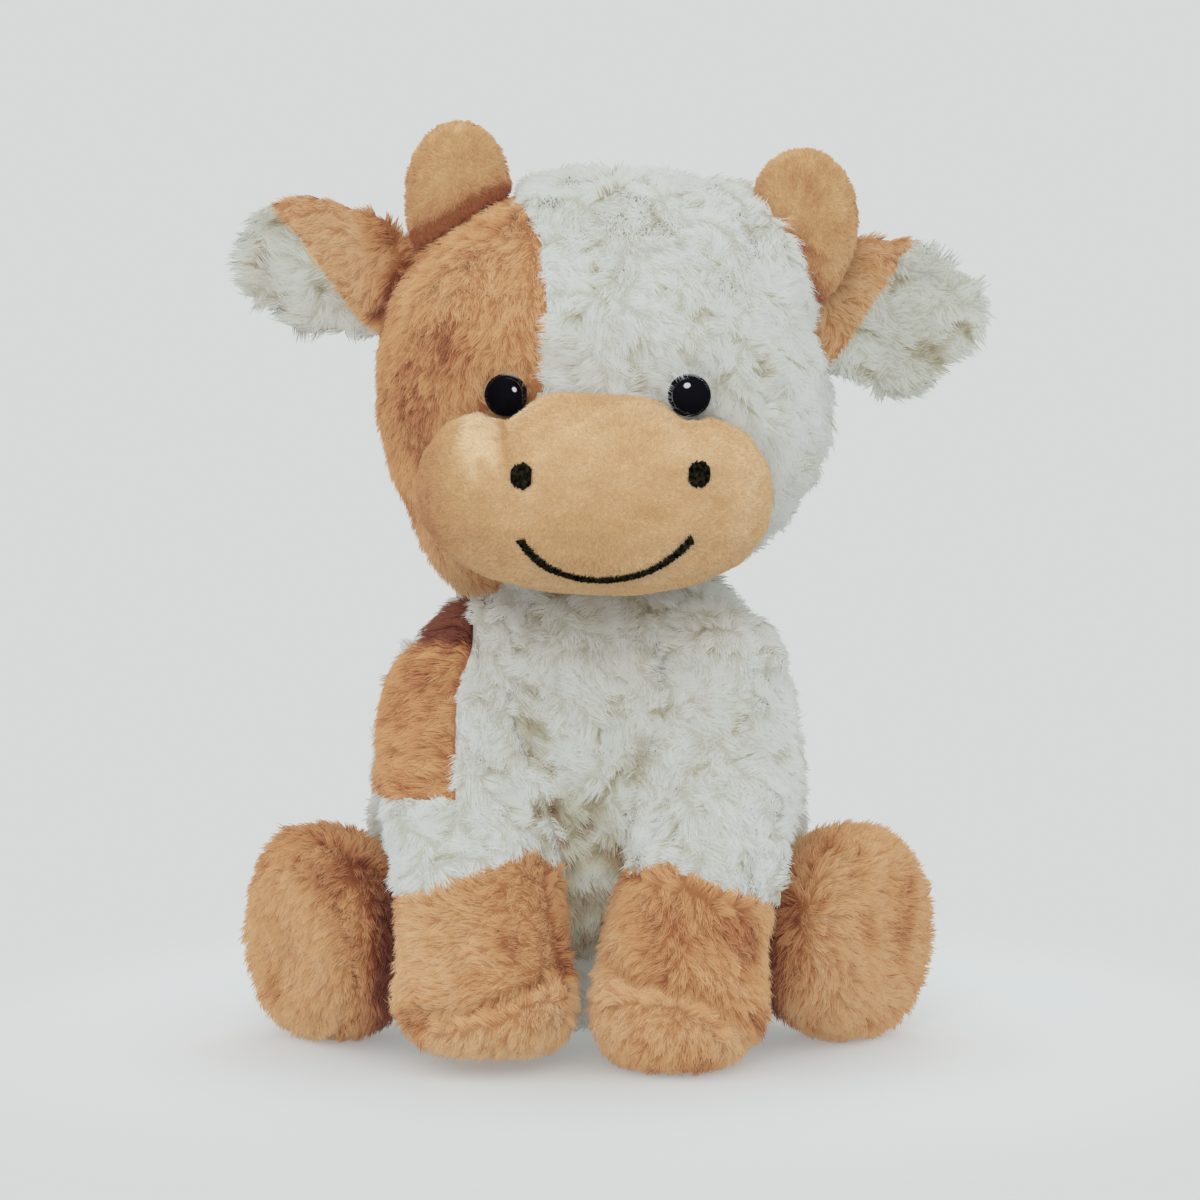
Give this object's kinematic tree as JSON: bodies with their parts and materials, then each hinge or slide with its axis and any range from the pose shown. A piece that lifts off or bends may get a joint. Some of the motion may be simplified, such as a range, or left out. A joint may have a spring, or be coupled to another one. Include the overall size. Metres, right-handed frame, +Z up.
{
  "type": "plush cow",
  "caption": "Seated stuffed cow with a large round head, wide short-pile muzzle, stuffed horns, cupped ears, tan patches and boot-shaped feet.",
  "frame": {"origin": "on the surface it sits on, under the middle of its outer box", "axes": "+Z up, the face looks along -Y, and the cow's right side is at -X"},
  "size_m": [0.2232, 0.1724, 0.2712],
  "materials": {
    "white_plush": "long swirled pile",
    "tan_plush": "long straight pile",
    "short_plush": "short velvety pile",
    "thread": "stitched thread",
    "eye_plastic": "glossy",
    "washer_plastic": "satin",
    "fibre_fill": "loose fibre",
    "bag_cloth": "plain weave"
  },
  "bodies": {
    "torso": {"torso_skin": "white_plush", "seat_panel": "white_plush", "torso_filling": "fibre_fill", "pellet_bag": "bag_cloth"},
    "head": {"head_tan_panel": "tan_plush", "head_white_panel": "white_plush", "head_filling": "fibre_fill", "muzzle_cover": "short_plush", "muzzle_filling": "fibre_fill", "smile_embroidery": "thread", "nostril_right": "thread", "eye_right": "eye_plastic", "eye_washer_right": "washer_plastic", "horn_right_cover": "short_plush", "horn_right_filling": "fibre_fill", "nostril_left": "thread", "eye_left": "eye_plastic", "eye_washer_left": "washer_plastic", "horn_left_cover": "short_plush", "horn_left_filling": "fibre_fill"},
    "ear_right": {"ear_right_inner": "tan_plush", "ear_right_outer": "white_plush"},
    "ear_left": {"ear_left_inner": "tan_plush", "ear_left_outer": "white_plush"},
    "tail": {"tail_tube": "white_plush", "tail_tuft": "tan_plush"},
    "foreleg_right": {"foreleg_right_paw": "tan_plush", "foreleg_right_patch": "tan_plush", "foreleg_right_sleeve": "white_plush", "foreleg_right_filling": "fibre_fill"},
    "hindleg_right": {"hindleg_right_thigh": "white_plush", "hindleg_right_foot": "tan_plush", "hindleg_right_sole": "tan_plush", "hindleg_right_filling": "fibre_fill"},
    "foreleg_left": {"foreleg_left_paw": "tan_plush", "foreleg_left_sleeve": "white_plush", "foreleg_left_filling": "fibre_fill"},
    "hindleg_left": {"hindleg_left_thigh": "white_plush", "hindleg_left_foot": "tan_plush", "hindleg_left_sole": "tan_plush", "hindleg_left_filling": "fibre_fill"}
  },
  "joints": [
    {"name": "head_turn", "type": "hinge", "parent": "torso", "child": "head", "pos_m": [-0.00763, 0.01084, 0.137], "axis": [0, 0, 1], "range_deg": [-30, 30], "stiffness_Nm_per_rad": 0.4},
    {"name": "ear_right_flap", "type": "hinge", "parent": "head", "child": "ear_right", "pos_m": [-0.06382, 0.01409, 0.21984], "axis": [0.3744, -0.0131, 0.9272], "range_deg": [-20, 20], "stiffness_Nm_per_rad": 0.02},
    {"name": "ear_left_flap", "type": "hinge", "parent": "head", "child": "ear_left", "pos_m": [0.06175, 0.01139, 0.21313], "axis": [-0.0523, 0.0018, 0.9986], "range_deg": [-20, 20], "stiffness_Nm_per_rad": 0.02},
    {"name": "foreleg_right_swing", "type": "hinge", "parent": "torso", "child": "foreleg_right", "pos_m": [-0.04663, -0.01816, 0.108], "axis": [-1, 0, 0], "range_deg": [0, 45], "stiffness_Nm_per_rad": 0.4},
    {"name": "foreleg_left_swing", "type": "hinge", "parent": "torso", "child": "foreleg_left", "pos_m": [0.03137, -0.01816, 0.108], "axis": [-1, 0, 0], "range_deg": [0, 45], "stiffness_Nm_per_rad": 0.4},
    {"name": "hindleg_right_splay", "type": "hinge", "parent": "torso", "child": "hindleg_right", "pos_m": [-0.05763, 0.00184, 0.031], "axis": [0, 0, -1], "range_deg": [0, 25], "stiffness_Nm_per_rad": 0.3},
    {"name": "hindleg_left_splay", "type": "hinge", "parent": "torso", "child": "hindleg_left", "pos_m": [0.04237, 0.00184, 0.031], "axis": [0, 0, 1], "range_deg": [0, 25], "stiffness_Nm_per_rad": 0.3},
    {"name": "tail_swing", "type": "hinge", "parent": "torso", "child": "tail", "pos_m": [-0.00763, 0.06434, 0.054], "axis": [1, 0, 0], "range_deg": [0, 60], "stiffness_Nm_per_rad": 0.02}
  ]
}
